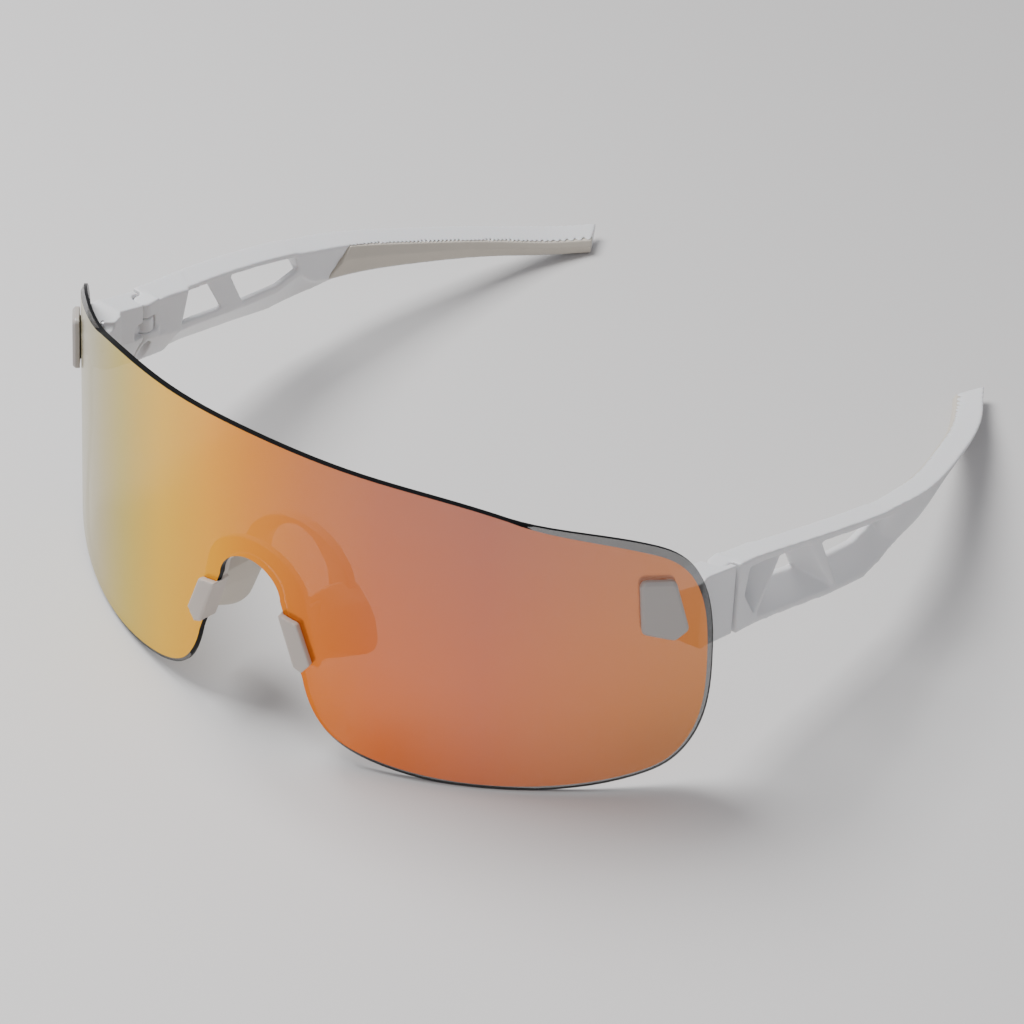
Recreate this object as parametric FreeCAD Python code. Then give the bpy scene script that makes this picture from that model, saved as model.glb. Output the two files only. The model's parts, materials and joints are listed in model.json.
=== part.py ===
import FreeCAD, Part
import math
import os

# Rimless wraparound sport sunglasses. Millimetres, +Z up, the wearer faces -Y, the wearer's left is +X.
# Everything is first built in the lens frame: X across, Y to the rear, Z along the lens cylinder's axis,
# zero at the front of the lens on its centre line. The whole is then tipped and lifted until the
# lens lobes and the temple tips stand on Z = 0, with the origin under the middle of its box.

Vector = FreeCAD.Vector
Vector2d = FreeCAD.Base.Vector2d

# ---- lens ----
LENS_RADIUS = 85.0
LENS_THICKNESS = 1.2
LENS_HALF_WIDTH = 83.6      # along the arc, from the centre line to the side
LENS_TOP = 22.0             # centre of the top edge above the frame's zero
LENS_DROP = 38.1            # lowest point of the two lobes below the frame's zero
LOBE_ARC = 44.0             # where along the arc each lobe is lowest
KINK_ARC = 47.0             # where along the arc the top edge turns down
RIM_BEVEL_WIDTH = 1.25      # bare ground rim round the corners and lobes
RIM_BEVEL_DEPTH = 0.6
NOSE_TOP = 3.3              # top of the nose cut below the frame's zero
NOSE_SPREAD_TOP = 6.7       # half width of the nose cut where its straight sides start
NOSE_SPREAD_FOOT = 11.6     # half width of the nose cut where its straight sides end
NOSE_SIDE_TOP = -9.3
NOSE_SIDE_FOOT = -23.4

# ---- front plates and their fixings ----
PLATE_THICKNESS = 1.3
PLATE_GAP = 0.25            # soft seat between plate and lens, taken up by the bushing flanges
PLATE_ARC = 74.0            # middle of the plate along the arc
PLATE_HEIGHT = 12.6
PLATE_MIDDLE = 0.4
PLATE_HALF_WIDTH = 4.4
PLATE_ROUND = 1.2
PLATE_BEVEL = 0.5
PEG_RADIUS = 0.95
PEG_SPACING = 5.4
PEG_INSET = 2.2             # pegs outside the inner edge of the end piece's pad
BUSHING_WALL = 0.35
BUSHING_FLANGE = 0.7
SCREW_RADIUS = 0.45
SCREW_HEAD_RADIUS = 1.1
SCREW_HEAD_HEIGHT = 0.6

# ---- end pieces ----
SEAT_GAP = 0.1              # between the lens and the end piece
PAD_DEPTH = 2.8             # thickness of the end piece's pad behind the lens
PAD_INNER_ARC = 72.2
PAD_OUTER_ARC = 81.0
END_TOP = 4.0
END_FOOT = -10.9
PAD_TOP = 1.5               # where the pad's tapered top would end, 22 mm ahead of the joint line
PAD_FOOT = -1.7
RECESS_DEPTH = 1.3          # pocket ahead of the hinge in the inner face
RECESS_LENGTH = 2.3

# ---- temples ----
END_REACH = 11.2            # from the pad's outer edge back to the joint line of the temple
END_INSET = 0.5             # outer face inside the pad's outer edge
SPLIT_GAP = 0.2
TEMPLE_LENGTH = 115.8       # joint line to tip, along Y
TEMPLE_WIDTH = 5.3          # across the top face
TEMPLE_TOP = 1.6            # top outer edge at the joint line
TEMPLE_FALL = 30.2          # how far the top edge falls to the tip
TIP_INSET = 21.4            # how far the tip stands in from the joint line
TIP_LIFT = 1.8              # how much the fall eases toward the tip
TIP_SLANT = 2.6             # how much further the outer edge runs than the inner one at the tip
BOW_OUT = 2.9               # how far the arm bows outward at a third of its length
TOP_TILT = 0.8              # the top face's inner edge lies this much lower
BAR_HEIGHT = 1.6
FRONT_DEPTH = 14.5          # height of the arm at the joint line
FRONT_BEVEL_TOP = 8.0       # the lower inner corner of the front is bevelled from here down
FRONT_FOOT_WIDTH = 1.9
TRUSS_DEPTH = 14.2          # height of the arm through the truss
SILL_DEPTH = 8.1            # lower edge of the truss openings below the top edge
SILL_WIDTH = 1.3
TRUSS_LENGTH = 56.0         # from the joint line to where the arm closes
ARM_HEIGHT = 8.9            # height of the arm where the truss ends
TIP_HEIGHT = 4.0
ARM_SLIMMING = 1.7
FOOT_WIDTH = 1.8
FOOT_SHIFT = 1.2            # how far out and down the foot's outer edge lies where the truss ends
GRIP_START = 53.0           # foot of the grip's slanted front end behind the joint line
GRIP_LEAN = 7.0
GRIP_DEPTH = 1.6
GRIP_RIDGE = 0.7

# ---- hinge ----
HINGE_INSET = 3.3           # hinge axis inside the outer face
HINGE_AHEAD = 1.2           # hinge axis ahead of the joint line
KNUCKLE_RADIUS = 1.9
KNUCKLE_GAP = 0.15
KNUCKLE_TOP_FOOT = 3.6      # foot of the upper knuckle below the top edge
KNUCKLE_LOW_TOP = 6.6       # top of the lower knuckle below the top edge
HINGE_PIN_RADIUS = 0.7
HINGE_CLEARANCE = 0.03
HINGE_HEAD_RADIUS = 1.15
HINGE_HEAD_HEIGHT = 0.8
HINGE_HEAD_SEAT = 1.5       # screw seat below the top of the lower knuckle
INSERT_RADIUS = 1.15
INSERT_LENGTH = 2.2
FOLD_CLEARANCE = 0.2

# ---- nosepiece ----
BAND_WIDTH = 4.5
BAND_CROWN = 3.0            # width of the band over the top of the cut
BAND_THICKNESS = 1.4
BAND_GAP = 0.05
HOOK_THICKNESS = 1.2
HOOK_WRAP = 3.4             # how far each hook reaches over the lens front
HOOK_LIP = 0.4              # how far each hook stands into the nose cut
HOOK_TOP = -11.2
HOOK_FOOT = -20.8
BAND_FOOT = -21.0
LOOP_FRONT = 12.8           # front of the rear loop behind the lens front
LOOP_DEPTH = 2.0
LOOP_OFFSET = 0.3
LOOP_WIDTH = 4.8             # width of the loop at its sides
LOOP_SAG = 2.3
LOOP_RISE = 2.7
LOOP_CROWN = 1.2            # height of the loop at its crown
RIB_OFFSET = 1.5            # side ribs outside the nose cut's straight sides
RIB_WIDTH = 1.2
RIB_TOP = -11.0
RIB_FOOT = -20.5

# ---- standing ----
FOOT_SKIM = 0.25            # flat ground on the lobes and tips where they stand
TIP_REST = 3.5              # where the tip touches the floor, ahead of its end

BEHIND = 2.0 * math.pi * 0.75
SEAT_RADIUS = LENS_RADIUS - LENS_THICKNESS - SEAT_GAP
PAD_ANGLE = PAD_OUTER_ARC / LENS_RADIUS
TEMPLE_X = SEAT_RADIUS * math.sin(PAD_ANGLE) - END_INSET
SPLIT_Y = LENS_RADIUS - SEAT_RADIUS * math.cos(PAD_ANGLE) + END_REACH
HINGE_X = TEMPLE_X - HINGE_INSET
HINGE_Y = SPLIT_Y - HINGE_AHEAD
FAR = 400.0


def polygon(points):
    """A closed flat face through the given points."""
    corners = [Vector(*p) for p in points]
    return Part.Face(Part.makePolygon(corners + [corners[0]]))


def prism(points, along):
    """A solid: a flat polygon pushed along a vector."""
    return polygon(points).extrude(Vector(*along))


def mirrored(shape):
    """The wearer's right twin of a piece on the wearer's left."""
    return shape.mirror(Vector(0, 0, 0), Vector(1, 0, 0))


# ---- shapes that follow the lens ----

def lens_surface(depth):
    """The lens cylinder, `depth` behind the front. Its seam lies at the rear, clear of every outline."""
    surface = Part.Cylinder()
    surface.Radius = LENS_RADIUS - depth
    surface.Center = Vector(0, LENS_RADIUS, 0)
    return surface


def on_lens(arc, height, depth):
    """The point `depth` behind the lens front, `arc` along it from the centre line."""
    angle = arc / LENS_RADIUS
    radius = LENS_RADIUS - depth
    return Vector(radius * math.sin(angle), LENS_RADIUS - radius * math.cos(angle), height)


def run_lengths(points):
    """Distance along a broken line at each of its points."""
    lengths = [0.0]
    for first, second in zip(points, points[1:]):
        lengths.append(lengths[-1] + math.dist(first, second))
    return lengths


def lens_wire(surface, segments):
    """A closed wire on the surface. A segment of two points is straight, a longer one is a smooth curve."""
    edges = []
    for segment in segments:
        points = [Vector2d(BEHIND + arc / LENS_RADIUS, height) for arc, height in segment]
        if len(points) == 2:
            curve = Part.Geom2d.Line2dSegment(*points)
        else:
            curve = Part.Geom2d.BSplineCurve2d()
            curve.interpolate(Points=points, Parameters=run_lengths(segment))
        edges.append(curve.toShape(surface))
    return Part.Wire(edges)


def lens_patch(levels):
    """A solid that follows the lens. levels: (depth, segments) from the back to the front."""
    surfaces = [lens_surface(depth) for depth, _ in levels]
    wires = [lens_wire(surface, level[1]) for surface, level in zip(surfaces, levels)]
    faces = [Part.Face(surfaces[0], wires[0]), Part.Face(surfaces[-1], wires[-1])]
    for lower, upper in zip(wires, wires[1:]):
        for first, second in zip(lower.OrderedEdges, upper.OrderedEdges):
            faces.append(Part.makeRuledSurface(first, second))
    shell = Part.makeShell(faces)
    shell.sewShape()
    solid = Part.makeSolid(shell)
    if solid.Volume < 0:
        solid.reverse()
    return solid


def corners_to_segments(corners):
    """Straight segments round a polygon of (arc, height) corners."""
    return [[a, b] for a, b in zip(corners, corners[1:] + corners[:1])]


def rounded_outline(corners, radius, inset=0.0):
    """Segments round a polygon of (arc, height) corners with rounded corners, drawn in by `inset`."""
    points = [Vector(arc, height, 0) for arc, height in corners]
    bends = []
    for index, here in enumerate(points):
        before = (points[index - 1] - here).normalize()
        after = (points[(index + 1) % len(points)] - here).normalize()
        half = 0.5 * before.getAngle(after)
        middle = (before + after).normalize()
        centre = here + middle * (radius / math.sin(half))
        reach = radius / math.tan(half)
        share = (radius - inset) / radius
        start = centre + (here + before * reach - centre) * share
        end = centre + (here + after * reach - centre) * share
        bend = [start, centre - middle * (radius - inset), end]
        bends.append([(point.x, point.y) for point in bend])
    segments = []
    for bend, following in zip(bends, bends[1:] + bends[:1]):
        segments += [bend, [bend[-1], following[0]]]
    return segments


def reflected(segments):
    """The same segments on the other side of the centre line, run the other way."""
    return [[(-arc, height) for arc, height in segment[::-1]] for segment in segments[::-1]]


def cut_side(height, out=0.0):
    """Half width of the nose cut at a height on its straight side, widened by `out`."""
    slope = (NOSE_SPREAD_FOOT - NOSE_SPREAD_TOP) / (NOSE_SIDE_TOP - NOSE_SIDE_FOOT)
    return NOSE_SPREAD_TOP + slope * (NOSE_SIDE_TOP - height) + out


def nose_arch(out, rise, lowered=0.0):
    """The top of the nose cut as one curve from right to left, `out` wider and `rise` higher."""
    top = NOSE_SIDE_TOP - lowered
    half = [(NOSE_SPREAD_TOP + out, top), (NOSE_SPREAD_TOP - 1.5 + 0.8 * out, top + 3.6 + 0.55 * rise)]
    crown = [(0, rise - NOSE_TOP - lowered)]
    return half + crown + [(-arc, height) for arc, height in half[::-1]]


def drawn_in(points, distances):
    """Points of a curve that runs clockwise, each moved inward by its own distance."""
    moved = []
    for index, (arc, height) in enumerate(points):
        before = points[max(index - 1, 0)]
        after = points[min(index + 1, len(points) - 1)]
        share = distances[index] / math.dist(before, after)
        moved.append((arc + share * (after[1] - before[1]), height - share * (after[0] - before[0])))
    return moved


def lens_outline(inset):
    """The lens outline. `inset` draws in the corner and the lobe, where the rim is bevelled."""
    side = LENS_HALF_WIDTH
    foot = -LENS_DROP
    kink = (KINK_ARC, LENS_TOP - 4.4)
    half_brow = [(0.43 * KINK_ARC, LENS_TOP - 0.8), (0.85 * KINK_ARC, LENS_TOP - 2.75), kink]
    corner = [kink, (side - 21.7, LENS_TOP - 6.95), (side - 12.7, LENS_TOP - 9.1),
              (side - 8.2, LENS_TOP - 11.05), (side - 4.5, LENS_TOP - 14.4), (side - 2.2, LENS_TOP - 18.75)]
    flank = [(side - 0.35, -5.8), (side, -12.5), (side - 0.2, -19.5), (side - 1.1, foot + 13.9)]
    lobe = [(side - 3.2, foot + 9.3), (side - 6.8, foot + 5.6), (side - 11.8, foot + 3.5),
            (side - 25.4, foot + 0.95), (LOBE_ARC, foot)]
    inner_lobe = [(0.59 * LOBE_ARC, foot + 1.2), (0.43 * LOBE_ARC, foot + 3.3), (0.355 * LOBE_ARC, foot + 5.6),
                  (NOSE_SPREAD_FOOT + 1.7, foot + 9.2), (NOSE_SPREAD_FOOT, NOSE_SIDE_FOOT)]
    right = corner + flank + lobe + inner_lobe
    inner_fade = [0.9, 0.7, 0.5, 0.2, 0.0]
    shares = [0.0, 0.8] + [1.0] * (len(right) - 2 - len(inner_fade)) + inner_fade
    right = drawn_in(right, [inset * share for share in shares])
    half = [right, [right[-1], (NOSE_SPREAD_TOP, NOSE_SIDE_TOP)]]
    brow = reflected([half_brow])[0] + [(0, LENS_TOP)] + half_brow
    return [brow] + half + [nose_arch(0.0, 0.0)] + reflected(half)


def peg_places():
    """Centres of the two pegs along the arc and in height."""
    arc = PAD_INNER_ARC + PEG_INSET
    return [(arc, PLATE_MIDDLE + 0.5 * PEG_SPACING - 0.6), (arc + 0.4, PLATE_MIDDLE - 0.5 * PEG_SPACING)]


def through_lens(radius, arc, height, start, length):
    """A round bar square to the lens, from `start` behind its front."""
    angle = arc / LENS_RADIUS
    inward = Vector(-math.sin(angle), math.cos(angle), 0)
    return Part.makeCylinder(radius, length, on_lens(arc, height, start), inward)


def make_lens():
    """The shield, its bare rim ground to a bevel, with two fixing holes a side."""
    whole = lens_outline(0.0)
    lens = lens_patch([(LENS_THICKNESS, whole), (RIM_BEVEL_DEPTH, whole), (0.0, lens_outline(RIM_BEVEL_WIDTH))])
    for arc, height in peg_places():
        hole = through_lens(PEG_RADIUS + BUSHING_WALL, arc, height, -1.0, LENS_THICKNESS + 2.0)
        lens = lens.cut(hole).cut(mirrored(hole))
    return lens


def make_front_plate():
    """A five-sided cover with rounded edges and two pegs that pass through the lens."""
    left = PLATE_ARC - PLATE_HALF_WIDTH
    right = PLATE_ARC + PLATE_HALF_WIDTH
    top = PLATE_MIDDLE + 0.5 * PLATE_HEIGHT
    foot = PLATE_MIDDLE - 0.5 * PLATE_HEIGHT
    corners = [(left - 0.3, top), (right - 2.9, top - 0.4), (right, foot + 2.0), (right - 2.4, foot),
               (left + 0.6, foot + 1.9)]
    whole = rounded_outline(corners, PLATE_ROUND)
    front = -PLATE_GAP - PLATE_THICKNESS
    plate = lens_patch([(-PLATE_GAP, whole), (front + PLATE_BEVEL, whole),
                        (front, rounded_outline(corners, PLATE_ROUND, PLATE_BEVEL))])
    reach = PLATE_GAP + LENS_THICKNESS + SEAT_GAP + PAD_DEPTH - 0.9
    for arc, height in peg_places():
        plate = plate.fuse(through_lens(PEG_RADIUS, arc, height, -PLATE_GAP - 0.3, reach + 0.3))
        bore = through_lens(SCREW_RADIUS, arc, height, LENS_THICKNESS - 0.6, reach)
        plate = plate.cut(bore)
    return plate


def make_bushings():
    """Two flanged sleeves between the plate's pegs and the lens."""
    sleeves = []
    for arc, height in peg_places():
        start = 0.04 - PLATE_GAP
        tube = through_lens(PEG_RADIUS + BUSHING_WALL, arc, height, start, LENS_THICKNESS - start)
        flange = through_lens(PEG_RADIUS + BUSHING_WALL + BUSHING_FLANGE, arc, height, start,
                              -0.03 - start)
        ring = tube.fuse(flange).cut(through_lens(PEG_RADIUS, arc, height, -1.0, LENS_THICKNESS + 2.0))
        sleeves.append(ring)
    return Part.makeCompound(sleeves)


def make_plate_screws():
    """Two screws that draw the plate and the end piece together from behind."""
    screws = []
    seat = LENS_THICKNESS + SEAT_GAP + PAD_DEPTH - SCREW_HEAD_HEIGHT
    for arc, height in peg_places():
        shank = through_lens(SCREW_RADIUS, arc, height, LENS_THICKNESS - 0.3, seat - LENS_THICKNESS + 0.3)
        head = through_lens(SCREW_HEAD_RADIUS, arc, height, seat, SCREW_HEAD_HEIGHT)
        head = head.makeChamfer(0.2, [edge for edge in head.Edges if edge.Length > 3][-1:])
        screws.append(shank.fuse(head))
    return Part.makeCompound(screws)


# ---- the temple's line ----

def outer_x(distance):
    """X of the arm's outer top edge, `distance` behind the joint line."""
    t = distance / TEMPLE_LENGTH
    bow = BOW_OUT * math.sin(math.pi * min(max(t, 0.0) / 0.7, 1.0))
    curl = max(t - 0.3, 0.0) / 0.7
    return TEMPLE_X + bow - TIP_INSET * curl ** 2.45


def top_z(distance):
    """Height of the arm's outer top edge, `distance` behind the joint line."""
    t = distance / TEMPLE_LENGTH
    if t < 0.0:
        return TEMPLE_TOP - t * TEMPLE_FALL
    return TEMPLE_TOP - TEMPLE_FALL * t ** 1.12 + TIP_LIFT * (max(t - 0.8, 0.0) / 0.2) ** 3


def place(distance, inward, down):
    """A point of the arm's section, square to the arm: inward from its outer top edge and down from it."""
    slope = (outer_x(distance + 0.5) - outer_x(distance - 0.5))
    heading = math.atan(slope)
    return Vector(outer_x(distance) - inward * math.cos(heading),
                  SPLIT_Y + distance + inward * math.sin(heading), top_z(distance) - down)


def section(distance, points):
    """A closed wire of the arm's section through (inward, down) points."""
    corners = [place(distance, *point) for point in points]
    return Part.makePolygon(corners + [corners[0]])


def arm_height(distance):
    """Height of the arm behind the truss."""
    share = (TEMPLE_LENGTH - distance) / (TEMPLE_LENGTH - TRUSS_LENGTH)
    return TIP_HEIGHT + (ARM_HEIGHT - TIP_HEIGHT) * max(share, 0.0) ** ARM_SLIMMING


def arm_section(distance):
    """The arm behind the truss: a flat top, an inner face and an outer face that leans in to the foot."""
    height = arm_height(distance)
    shift = foot_shift(distance)
    return [(0, 0), (TEMPLE_WIDTH, TOP_TILT), (TEMPLE_WIDTH, height - shift),
            (TEMPLE_WIDTH - FOOT_WIDTH - shift, height + 0.1), (0.4, 1.3)]


def foot_shift(distance):
    """How far the outer edge of the foot lies out from and below its place at the tip."""
    return FOOT_SHIFT * (TEMPLE_LENGTH - distance) / (TEMPLE_LENGTH - TRUSS_LENGTH)


def bar_section():
    """The top bar over the truss openings."""
    return [(0, 0), (TEMPLE_WIDTH, TOP_TILT), (TEMPLE_WIDTH, TOP_TILT + 1.0),
            (TEMPLE_WIDTH - FOOT_WIDTH, TOP_TILT + 1.1), (0.2, BAR_HEIGHT)]


def leg_section(depth, inset, sill):
    """The lower bar: it leans from a foot near the outer face up to a sill at the inner face."""
    return [(inset, depth), (inset + 1.2, depth), (TEMPLE_WIDTH, sill + 1.4), (TEMPLE_WIDTH, sill),
            (TEMPLE_WIDTH - SILL_WIDTH, sill), (inset - 0.1, depth - 1.2)]


def arm_stations(count):
    """Distances behind the joint line from where the arm closes to the tip."""
    step = (TEMPLE_LENGTH - TRUSS_LENGTH) / count
    return [TRUSS_LENGTH + step * index for index in range(count + 1)]


def flat_quad(inward, points):
    """A flat four-sided wire at one X, through (distance, down) points."""
    middle = sum(point[0] for point in points) / len(points)
    x = outer_x(middle) - inward
    corners = [Vector(x, SPLIT_Y + distance, top_z(distance) - down) for distance, down in points]
    return Part.makePolygon(corners + [corners[0]])


def tapered(inner, outer, inner_inward, outer_inward):
    """A solid between a four-sided shape at the inner face and one at the outer face."""
    return Part.makeLoft([flat_quad(inner_inward, inner), flat_quad(outer_inward, outer)], True, True)


def make_arm():
    """The white arm as one solid, with its truss, before the hinge is cut."""
    closing = TRUSS_LENGTH - 12.0
    bar = Part.makeLoft([section(distance, bar_section()) for distance in (1.0, 0.25 * closing, 0.5 * closing,
                        0.75 * closing, closing)], True, False)
    rear = [section(closing, bar_section())] + [section(d, arm_section(d)) for d in arm_stations(6)]
    arm = Part.makeLoft(rear, True, False)
    legs = [(1.0, TRUSS_DEPTH + 0.3, 0.1, SILL_DEPTH), (0.22 * TRUSS_LENGTH, TRUSS_DEPTH, 0.4,
                                                        SILL_DEPTH),
            (0.50 * TRUSS_LENGTH, TRUSS_DEPTH - 0.1, 0.8, SILL_DEPTH), (0.69 * TRUSS_LENGTH, TRUSS_DEPTH - 0.6, 1.2,
            SILL_DEPTH - 1.0), (0.80 * TRUSS_LENGTH, TRUSS_DEPTH - 2.2, 1.7, 4.6),
            (0.90 * TRUSS_LENGTH, 0.3 * TRUSS_DEPTH + 0.7 * ARM_HEIGHT, 2.3, 1.8),
            (TRUSS_LENGTH + 0.5, ARM_HEIGHT, TEMPLE_WIDTH - FOOT_WIDTH - FOOT_SHIFT, 1.4)]
    leg = Part.makeLoft([section(row[0], leg_section(*row[1:])) for row in legs], True, True)
    front = tapered([(SPLIT_GAP, TOP_TILT), (10.0, TOP_TILT), (6.3, TRUSS_DEPTH), (SPLIT_GAP, FRONT_DEPTH)],
                    [(SPLIT_GAP, 0.0), (13.8, 0.0), (5.6, TRUSS_DEPTH), (SPLIT_GAP, FRONT_DEPTH)],
                    TEMPLE_WIDTH, 0.0)
    strut = tapered([(16.7, 1.3), (23.8, 1.3), (28.0, SILL_DEPTH + 0.8), (21.5, SILL_DEPTH + 0.8)],
                    [(19.6, 1.0), (23.2, 1.0), (30.4, TRUSS_DEPTH - 0.9), (29.2, TRUSS_DEPTH - 1.0)],
                    TEMPLE_WIDTH - 0.05, 0.6)
    pocket = tapered([(4.6, 2.2), (8.6, 2.2), (6.0, 9.4), (4.4, 8.4)],
                     [(3.0, 1.7), (12.7, 1.7), (5.5, TRUSS_DEPTH - 1.3), (1.8, 7.0)],
                     TEMPLE_WIDTH - 1.4, -0.6)
    arm = arm.fuse([bar, leg, front, strut]).removeSplitter()
    return arm.cut(pocket).cut(front_bevel()).cut(tip_slice())


def tip_slice():
    """What the slanted end takes off the inner corner of the tip."""
    outer = place(TEMPLE_LENGTH, 0, 0)
    inner = place(TEMPLE_LENGTH - TIP_SLANT, TEMPLE_WIDTH, 0)
    across = inner - outer
    end = inner + across
    return prism([(outer.x, outer.y, -60), (end.x, end.y, -60), (end.x, end.y + 20, -60),
                  (outer.x, outer.y + 20, -60)], (0, 0, 80))


def front_bevel():
    """What is taken off the lower inner corner of the arm and end piece at the hinge."""
    ahead = -25.0
    behind = 7.5
    wires = []
    for distance in (ahead, 0.0, behind):
        y = SPLIT_Y + distance
        head = top_z(distance) - FRONT_BEVEL_TOP
        foot = top_z(distance) - FRONT_DEPTH
        inner = TEMPLE_X - TEMPLE_WIDTH
        slope = (inner + FRONT_FOOT_WIDTH - TEMPLE_X) / (head - foot)
        corners = [Vector(inner + slope, y, head + 1.0), Vector(TEMPLE_X - FRONT_FOOT_WIDTH - slope, y,
                                                                foot - 1.0),
                   Vector(inner - 20.0, y, foot - 1.0), Vector(inner - 20.0, y, head + 1.0)]
        wires.append(Part.makePolygon(corners + [corners[0]]))
    return Part.makeLoft(wires, True, True)


def make_grip():
    """The rubber insert in the inner face of the rear arm, with a ridge along it."""
    wires = []
    for distance in [GRIP_START] + arm_stations(6):
        height = arm_height(distance) - foot_shift(distance)
        ridge = TOP_TILT + 0.42 * (height - TOP_TILT)
        wires.append(section(distance, [(TEMPLE_WIDTH - GRIP_DEPTH, TOP_TILT + 0.25),
                                        (TEMPLE_WIDTH + 0.12,
                                         TOP_TILT + 0.15), (TEMPLE_WIDTH + GRIP_RIDGE, ridge),
                                        (TEMPLE_WIDTH + 0.12, height - 0.15),
                                        (TEMPLE_WIDTH - GRIP_DEPTH, height - 0.75)]))
    grip = Part.makeLoft(wires, True, False)
    top = place(GRIP_START + GRIP_LEAN, TEMPLE_WIDTH, TOP_TILT)
    foot = place(GRIP_START, TEMPLE_WIDTH, ARM_HEIGHT - FOOT_SHIFT)
    slant = prism([(0, foot.y - 30, foot.z - 6), (0, foot.y - 0.8 * GRIP_LEAN, foot.z - 6),
                   (0, top.y + 0.8 * GRIP_LEAN, top.z + 6), (0, foot.y - 30, top.z + 6)], (100, 0, 0))
    return grip.cut(slant).cut(tip_slice())


# ---- hinge ----

def hinge_bar(radius, low, high):
    """A round bar on the hinge axis between two heights."""
    return Part.makeCylinder(radius, high - low, Vector(HINGE_X, HINGE_Y, low))


def hinge_levels():
    """Foot of the upper knuckle and top of the lower knuckle."""
    return TEMPLE_TOP - KNUCKLE_TOP_FOOT, TEMPLE_TOP - KNUCKLE_LOW_TOP


def make_temple(arm, grip):
    """The arm with its two knuckles, less what the grip, the pin and the insert need."""
    upper, lower = hinge_levels()
    half_gap = 0.5 * KNUCKLE_GAP
    crown = TEMPLE_TOP - TOP_TILT * 0.6
    foot = TEMPLE_TOP - FRONT_DEPTH
    temple = arm.cut(hinge_bar(KNUCKLE_RADIUS + KNUCKLE_GAP, lower - half_gap, upper + half_gap))
    for low, high in ((upper + half_gap, crown), (foot, lower - half_gap)):
        neck = Part.makeBox(KNUCKLE_RADIUS + 1.1, HINGE_AHEAD + 1.2, high - low,
                            Vector(HINGE_X - KNUCKLE_RADIUS, HINGE_Y, low))
        temple = temple.fuse([hinge_bar(KNUCKLE_RADIUS, low, high), neck])
    temple = temple.cut(front_bevel())
    screw_seat = lower - HINGE_HEAD_SEAT
    temple = temple.cut(hinge_bar(HINGE_PIN_RADIUS, foot, upper + INSERT_LENGTH))
    temple = temple.cut(hinge_bar(INSERT_RADIUS, upper, upper + INSERT_LENGTH))
    temple = temple.cut(hinge_bar(HINGE_HEAD_RADIUS + 0.05, foot - 3.0, screw_seat))
    return temple.cut(grip)


def make_hinge_screw():
    """The hinge pin: a slotted screw from below, threaded into the insert."""
    upper, lower = hinge_levels()
    seat = lower - HINGE_HEAD_SEAT
    screw = hinge_bar(HINGE_PIN_RADIUS, seat, upper + INSERT_LENGTH)
    head = hinge_bar(HINGE_HEAD_RADIUS, seat - HINGE_HEAD_HEIGHT, seat)
    slot = Part.makeBox(0.35, 4.0, 0.4, Vector(HINGE_X - 0.175, HINGE_Y - 2.0,
                                               seat - HINGE_HEAD_HEIGHT - 0.05))
    return screw.fuse(head).cut(slot)


def make_hinge_insert():
    """The threaded insert in the upper knuckle."""
    upper, _ = hinge_levels()
    low = upper + 0.5 * KNUCKLE_GAP
    return hinge_bar(INSERT_RADIUS, low, upper + INSERT_LENGTH).cut(
        hinge_bar(HINGE_PIN_RADIUS, low - 1.0, upper + INSERT_LENGTH + 1.0))


# ---- end pieces ----

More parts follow.
